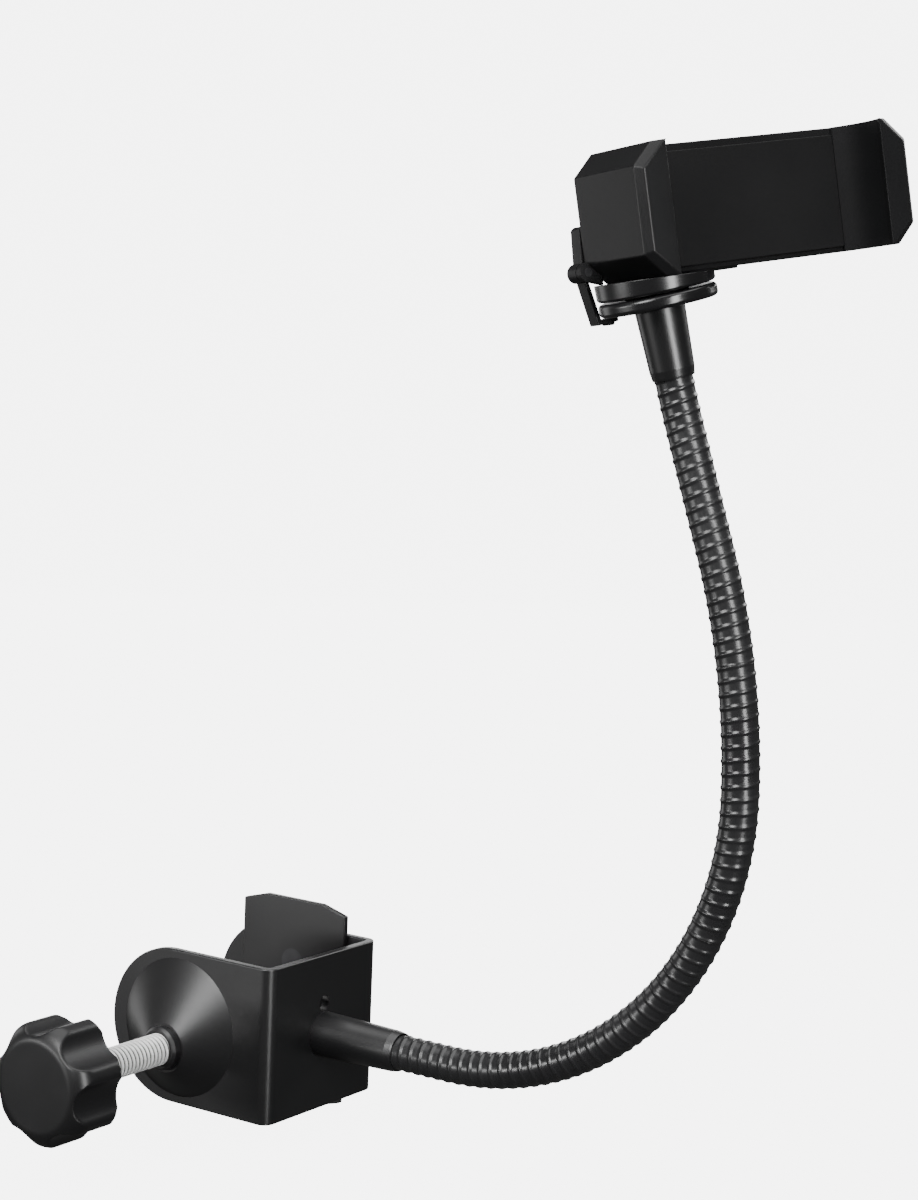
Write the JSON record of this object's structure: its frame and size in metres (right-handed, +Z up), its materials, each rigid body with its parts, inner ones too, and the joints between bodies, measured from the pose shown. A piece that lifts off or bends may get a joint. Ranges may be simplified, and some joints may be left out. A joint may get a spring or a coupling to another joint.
{
  "type": "phone gooseneck holder",
  "caption": "Spring-jawed phone clip on a ribbed black gooseneck, held to an upright pole by a folded steel screw clamp with a star knob.",
  "frame": {"origin": "on the axis of the clamped pole, at the bracket's mid height", "axes": "+X runs out along the neck's root, -Y towards the knob, +Z up along the pole"},
  "size_m": [0.2144, 0.1477, 0.3035],
  "materials": {
    "black_enamel": "gloss black enamel",
    "neck_winding": "satin black winding",
    "zinc": "zinc plated",
    "dark_steel": "blackened steel",
    "knob_plastic": "fine grained moulding",
    "clip_plastic": "satin moulding",
    "disc_plastic": "polished moulding",
    "liner_rubber": "soft sheet",
    "pad_rubber": "moulded rubber"
  },
  "bodies": {
    "clamp": {"clamp_bracket": "black_enamel", "rear_jaw_plate": "black_enamel", "jaw_rivets": "dark_steel", "threaded_collar": "black_enamel", "lower_ferrule": "black_enamel", "ferrule_bolt": "zinc", "lock_washer": "zinc", "gooseneck_1": "neck_winding"},
    "press": {"pressure_pad": "pad_rubber"},
    "screw": {"clamp_screw": "zinc", "star_knob": "knob_plastic"},
    "neck_low": {"gooseneck_2": "neck_winding"},
    "neck_mid": {"gooseneck_3": "neck_winding"},
    "neck_tip": {"gooseneck_4": "neck_winding", "upper_ferrule": "black_enamel", "base_disc": "disc_plastic", "pivot_screw": "zinc"},
    "clip": {"swivel_disc": "disc_plastic", "friction_washer": "pad_rubber", "disc_screws": "zinc", "clip_body": "clip_plastic", "rear_cover": "clip_plastic", "guide_rods": "zinc", "jaw_springs": "zinc", "latch_pin": "dark_steel"},
    "jaw": {"sliding_jaw": "clip_plastic", "floor_pad": "liner_rubber", "slide_shoe": "clip_plastic", "shoe_screws": "zinc"},
    "latch": {"latch_lever": "clip_plastic"}
  },
  "joints": [
    {"name": "pad_slide", "type": "slide", "parent": "clamp", "child": "press", "axis": [0, 1, 0], "range_m": [-0.012, 0.024]},
    {"name": "knob_turn", "type": "hinge", "parent": "press", "child": "screw", "pos_m": [0, 0, -0.0042], "axis": [0, 1, 0], "range_deg": [-2721.26, 5442.52]},
    {"name": "neck_bend_low", "type": "hinge", "parent": "clamp", "child": "neck_low", "pos_m": [0.1381, -0.00435, 0.0209], "axis": [0, 1, 0], "range_deg": [-15, 15]},
    {"name": "neck_bend_side", "type": "hinge", "parent": "neck_low", "child": "neck_mid", "pos_m": [0.1696, -0.00435, 0.09003], "axis": [1, 0, 0.0081], "range_deg": [-15, 15]},
    {"name": "neck_bend_high", "type": "hinge", "parent": "neck_mid", "child": "neck_tip", "pos_m": [0.15803, -0.00678, 0.16006], "axis": [-0.0197, 0.9977, 0.0652], "range_deg": [-15, 15]},
    {"name": "head_swivel", "type": "hinge", "parent": "neck_tip", "child": "clip", "pos_m": [0.14347, -0.01388, 0.21846], "axis": [-0.1742, -0.1819, 0.9678], "continuous": true},
    {"name": "jaw_slide", "type": "slide", "parent": "clip", "child": "jaw", "axis": [0.413, 0.8984, 0.1496], "range_m": [0, 0.022], "stiffness_N_per_m": 200, "springref_m": -0.02, "deforming": ["jaw_springs"]},
    {"name": "latch_rock", "type": "hinge", "parent": "clip", "child": "latch", "pos_m": [0.12412, -0.02079, 0.2266], "axis": [-0.9003, 0.4275, -0.0817], "range_deg": [0, 12]}
  ],
  "couplings": [
    {"joint": "pad_slide", "follows": "knob_turn", "m_per_rad": 0.00025266}
  ]
}
